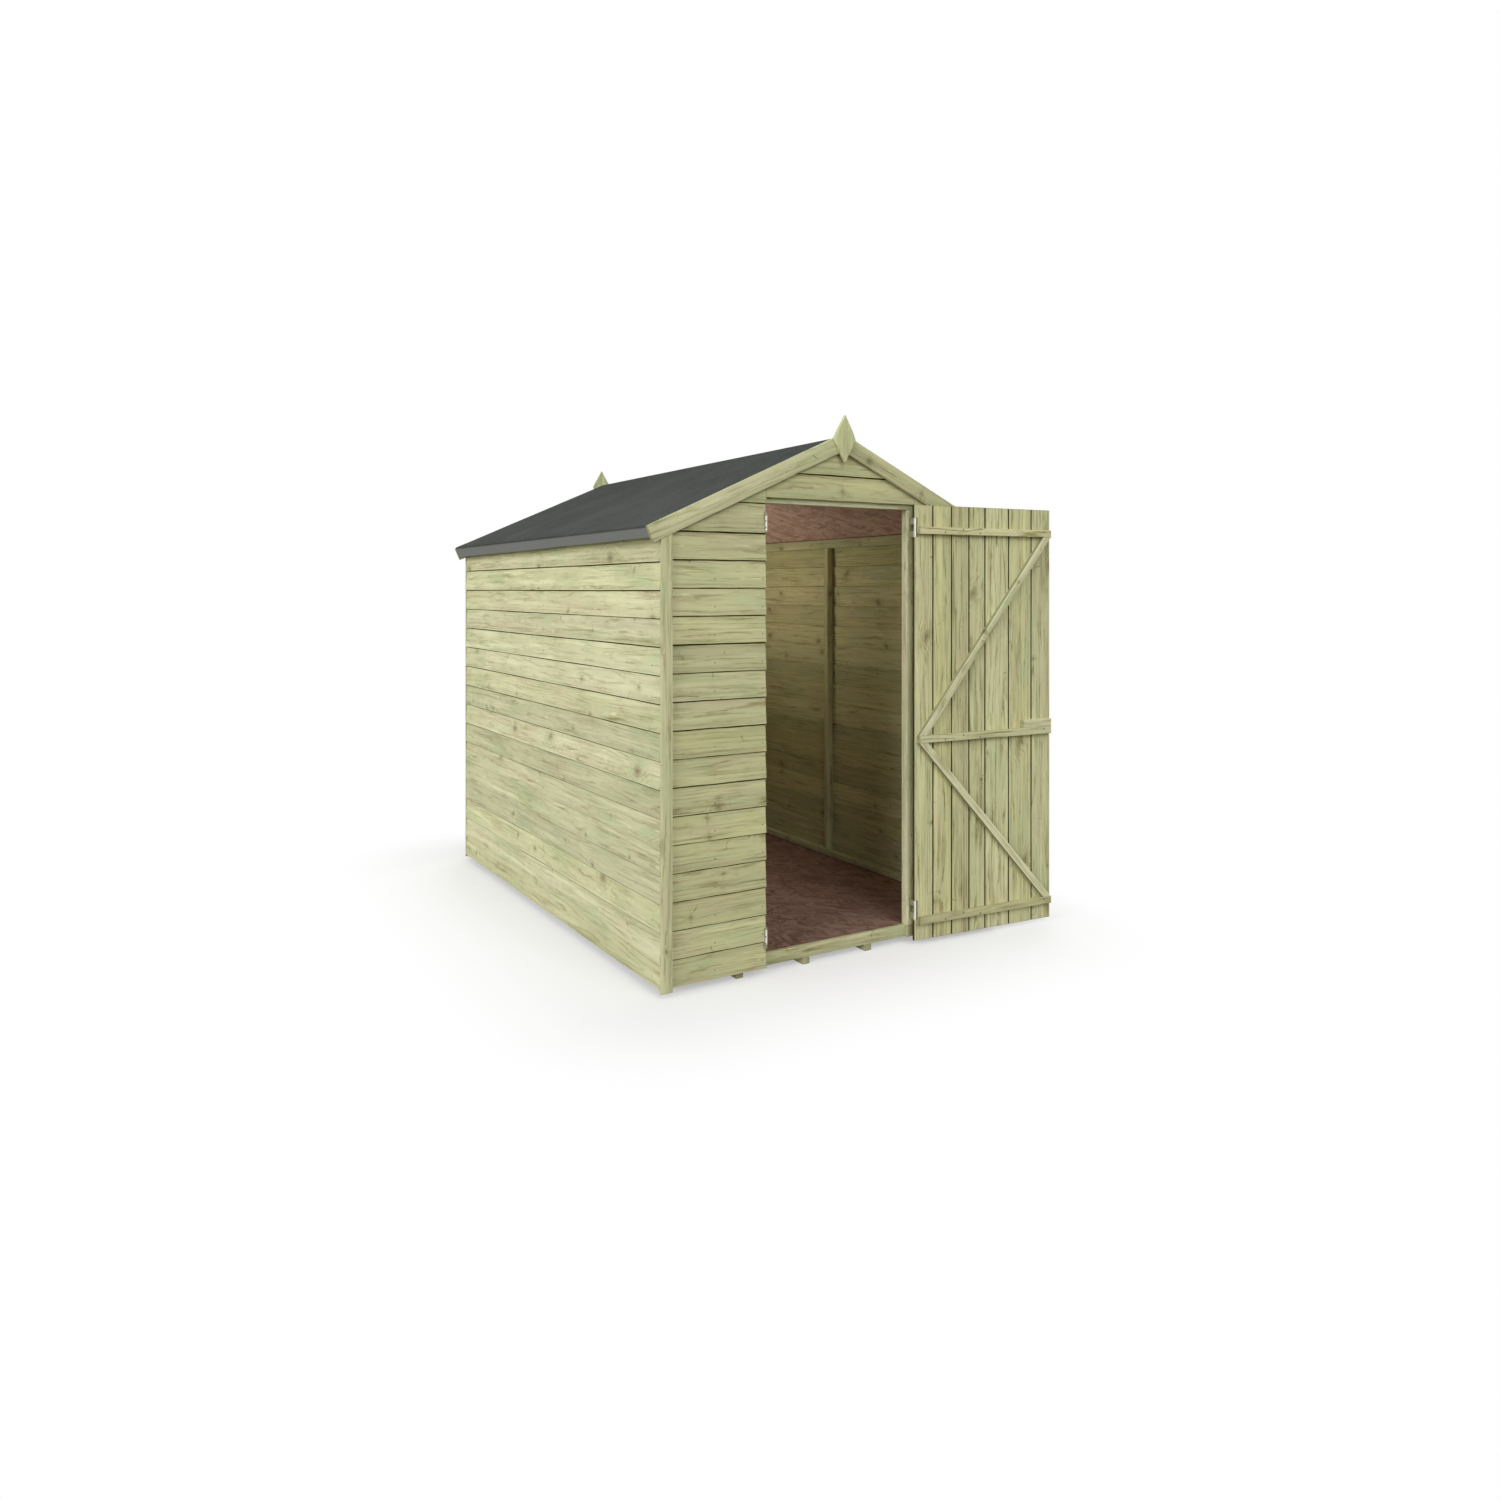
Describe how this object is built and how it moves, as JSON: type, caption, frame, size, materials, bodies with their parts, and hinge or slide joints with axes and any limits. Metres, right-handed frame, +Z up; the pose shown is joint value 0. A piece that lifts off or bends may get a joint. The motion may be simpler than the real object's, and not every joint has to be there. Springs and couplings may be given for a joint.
{
  "type": "wooden garden shed",
  "caption": "Apex garden shed of overlapping treated boards on a framed floor, with a felted pitched roof, kite finials and a hinged ledged and braced door.",
  "frame": {"origin": "on the ground at the centre of the wall plan", "axes": "+Z up, -Y out of the front with the doorway, +X to the right seen from the front"},
  "size_m": [1.8344, 2.2425, 2.015],
  "materials": {
    "cladding_timber": "sawn, pressure treated",
    "framing_timber": "sawn, pressure treated",
    "strand_board": "oriented strand board",
    "roofing_felt": "sanded bitumen felt",
    "zinc_plate": "bright zinc plated"
  },
  "bodies": {
    "shed": {"floor_bearers": "framing_timber", "floor_joists": "framing_timber", "floor_sheet": "strand_board", "threshold_board": "cladding_timber", "back_edge_board": "cladding_timber", "left_cladding": "cladding_timber", "right_cladding": "cladding_timber", "back_cladding": "cladding_timber", "front_left_cladding": "cladding_timber", "front_right_cladding": "cladding_timber", "front_gable_cladding": "cladding_timber", "left_wall_rails": "framing_timber", "left_wall_studs": "framing_timber", "right_wall_rails": "framing_timber", "right_wall_studs": "framing_timber", "back_wall_rails": "framing_timber", "back_wall_studs": "framing_timber", "front_wall_rails": "framing_timber", "front_wall_studs": "framing_timber", "left_door_post": "cladding_timber", "right_door_post": "cladding_timber", "door_lintel": "cladding_timber", "gable_rafters": "framing_timber", "ridge_beam": "framing_timber", "eaves_rails": "framing_timber", "left_roof_sheet": "strand_board", "right_roof_sheet": "strand_board", "left_roof_felt": "roofing_felt", "right_roof_felt": "roofing_felt", "front_corner_strips": "cladding_timber", "back_corner_strips": "cladding_timber", "front_left_bargeboard": "cladding_timber", "front_right_bargeboard": "cladding_timber", "back_left_bargeboard": "cladding_timber", "back_right_bargeboard": "cladding_timber", "front_finial": "cladding_timber", "back_finial": "cladding_timber", "frame_hinges": "zinc_plate", "jamb_plates": "zinc_plate"},
    "door": {"door_boards": "cladding_timber", "door_ledges": "cladding_timber", "door_braces": "cladding_timber", "lock_block": "cladding_timber", "door_hinges": "zinc_plate"}
  },
  "joints": [
    {"name": "door_swing", "type": "hinge", "parent": "shed", "child": "door", "pos_m": [0.3405, -1.082, 0], "axis": [0, 0, -1], "range_deg": [0, 176]}
  ]
}
